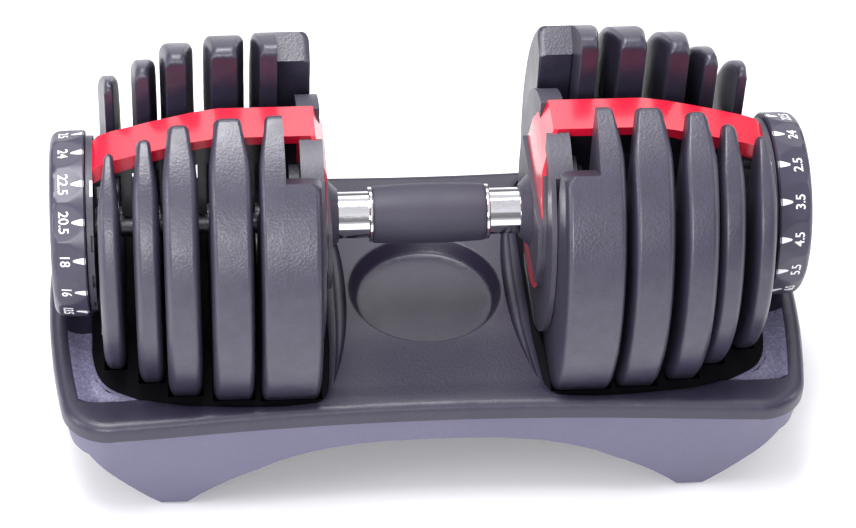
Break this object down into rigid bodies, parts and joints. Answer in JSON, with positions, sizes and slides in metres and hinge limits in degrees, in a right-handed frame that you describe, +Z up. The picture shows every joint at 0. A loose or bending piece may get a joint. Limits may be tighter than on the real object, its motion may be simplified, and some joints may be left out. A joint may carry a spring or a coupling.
{
  "type": "adjustable dumbbell",
  "caption": "Adjustable dumbbell with a weight dial at each end, slotted plates, a red bridge over each head, a chrome handle with a rubber grip, standing in its cradle.",
  "frame": {"origin": "on the floor under the middle of the handle, at the centre of the cradle", "axes": "+X along the handle towards the right head, +Y to the back, +Z up"},
  "size_m": [0.41, 0.204, 0.2195],
  "materials": {
    "cradle_charcoal": "fine moulded grain",
    "cradle_grey": "fine moulded grain",
    "cradle_black": "matt black moulding",
    "foot_rubber": "matt rubber",
    "zinc_steel": "bright zinc",
    "dark_steel": "blackened",
    "chrome": "mirror",
    "grip_rubber": "soft-touch rubber, barrel shaped",
    "frame_plastic": "fine moulded grain",
    "red_plastic": "satin gloss",
    "white_mark": "printed white",
    "dial_plastic": "satin gloss",
    "plate_coating": "grained moulded cover over a steel core",
    "selector_steel": "stamped and turned"
  },
  "bodies": {
    "cradle": {"cradle_tray": "cradle_charcoal", "cradle_base": "cradle_grey", "rubber_feet": "foot_rubber", "cradle_screws": "zinc_steel", "left_plate_well": "cradle_black", "right_plate_well": "cradle_black"},
    "handle": {"axle_rod": "zinc_steel", "handle_tube": "chrome", "grip_sleeve": "grip_rubber", "grip_rings": "chrome", "left_hub": "frame_plastic", "left_hub_cover": "frame_plastic", "left_bridge": "red_plastic", "left_end_plate": "frame_plastic", "left_bridge_screws": "zinc_steel", "left_index_mark": "white_mark", "left_detent_ball": "zinc_steel", "left_detent_spring": "zinc_steel", "left_lock_spring": "zinc_steel", "right_hub": "frame_plastic", "right_hub_cover": "frame_plastic", "right_bridge": "red_plastic", "right_end_plate": "frame_plastic", "right_bridge_screws": "zinc_steel", "right_index_mark": "white_mark", "right_detent_ball": "zinc_steel", "right_detent_spring": "zinc_steel", "right_lock_spring": "zinc_steel"},
    "left_dial_unit": {"left_dial": "dial_plastic", "left_dial_screw": "dark_steel", "left_selector_shaft": "zinc_steel", "left_selector_disc_1": "selector_steel", "left_selector_disc_2": "selector_steel", "left_selector_disc_3": "selector_steel", "left_selector_disc_4": "selector_steel", "left_selector_disc_5": "selector_steel"},
    "left_lock": {"left_lock_slider": "zinc_steel"},
    "right_dial_unit": {"right_dial": "dial_plastic", "right_dial_screw": "dark_steel", "right_selector_shaft": "zinc_steel", "right_selector_disc_1": "selector_steel", "right_selector_disc_2": "selector_steel", "right_selector_disc_3": "selector_steel", "right_selector_disc_4": "selector_steel", "right_selector_disc_5": "selector_steel"},
    "right_lock": {"right_lock_slider": "zinc_steel"},
    "left_weight_1": {"left_plate_1": "plate_coating"},
    "left_weight_2": {"left_plate_2": "plate_coating"},
    "left_weight_3": {"left_plate_3": "plate_coating"},
    "left_weight_4": {"left_plate_4": "plate_coating"},
    "left_weight_5": {"left_plate_5": "plate_coating"},
    "right_weight_1": {"right_plate_1": "plate_coating"},
    "right_weight_2": {"right_plate_2": "plate_coating"},
    "right_weight_3": {"right_plate_3": "plate_coating"},
    "right_weight_4": {"right_plate_4": "plate_coating"},
    "right_weight_5": {"right_plate_5": "plate_coating"}
  },
  "joints": [
    {"name": "handle_lift", "type": "slide", "parent": "cradle", "child": "handle", "axis": [0, 0, 1], "range_m": [0, 0.25]},
    {"name": "left_dial_turn", "type": "hinge", "parent": "handle", "child": "left_dial_unit", "pos_m": [-0.19, 0, 0.124], "axis": [-1, 0, 0], "continuous": true},
    {"name": "left_lock_slide", "type": "slide", "parent": "handle", "child": "left_lock", "axis": [0, 0, -1], "range_m": [0, 0.004], "deforming": ["left_lock_spring"]},
    {"name": "right_dial_turn", "type": "hinge", "parent": "handle", "child": "right_dial_unit", "pos_m": [0.19, 0, 0.124], "axis": [1, 0, 0], "continuous": true},
    {"name": "right_lock_slide", "type": "slide", "parent": "handle", "child": "right_lock", "axis": [0, 0, -1], "range_m": [0, 0.004], "deforming": ["right_lock_spring"]},
    {"name": "left_weight_1_lift", "type": "slide", "parent": "cradle", "child": "left_weight_1", "axis": [0, 0, 1], "range_m": [0, 0.25]},
    {"name": "left_weight_2_lift", "type": "slide", "parent": "cradle", "child": "left_weight_2", "axis": [0, 0, 1], "range_m": [0, 0.25]},
    {"name": "left_weight_3_lift", "type": "slide", "parent": "cradle", "child": "left_weight_3", "axis": [0, 0, 1], "range_m": [0, 0.25]},
    {"name": "left_weight_4_lift", "type": "slide", "parent": "cradle", "child": "left_weight_4", "axis": [0, 0, 1], "range_m": [0, 0.25]},
    {"name": "left_weight_5_lift", "type": "slide", "parent": "cradle", "child": "left_weight_5", "axis": [0, 0, 1], "range_m": [0, 0.25]},
    {"name": "right_weight_1_lift", "type": "slide", "parent": "cradle", "child": "right_weight_1", "axis": [0, 0, 1], "range_m": [0, 0.25]},
    {"name": "right_weight_2_lift", "type": "slide", "parent": "cradle", "child": "right_weight_2", "axis": [0, 0, 1], "range_m": [0, 0.25]},
    {"name": "right_weight_3_lift", "type": "slide", "parent": "cradle", "child": "right_weight_3", "axis": [0, 0, 1], "range_m": [0, 0.25]},
    {"name": "right_weight_4_lift", "type": "slide", "parent": "cradle", "child": "right_weight_4", "axis": [0, 0, 1], "range_m": [0, 0.25]},
    {"name": "right_weight_5_lift", "type": "slide", "parent": "cradle", "child": "right_weight_5", "axis": [0, 0, 1], "range_m": [0, 0.25]}
  ],
  "couplings": [
    {"joint": "left_lock_slide", "follows": "handle_lift", "ratio": 0.016},
    {"joint": "right_lock_slide", "follows": "handle_lift", "ratio": 0.016},
    {"joint": "left_weight_1_lift", "follows": "handle_lift", "ratio": 1},
    {"joint": "left_weight_2_lift", "follows": "handle_lift", "ratio": 1},
    {"joint": "left_weight_3_lift", "follows": "handle_lift", "ratio": 1},
    {"joint": "left_weight_4_lift", "follows": "handle_lift", "ratio": 1},
    {"joint": "left_weight_5_lift", "follows": "handle_lift", "ratio": 1},
    {"joint": "right_weight_1_lift", "follows": "handle_lift", "ratio": 1},
    {"joint": "right_weight_2_lift", "follows": "handle_lift", "ratio": 1},
    {"joint": "right_weight_3_lift", "follows": "handle_lift", "ratio": 1},
    {"joint": "right_weight_4_lift", "follows": "handle_lift", "ratio": 1},
    {"joint": "right_weight_5_lift", "follows": "handle_lift", "ratio": 1}
  ]
}
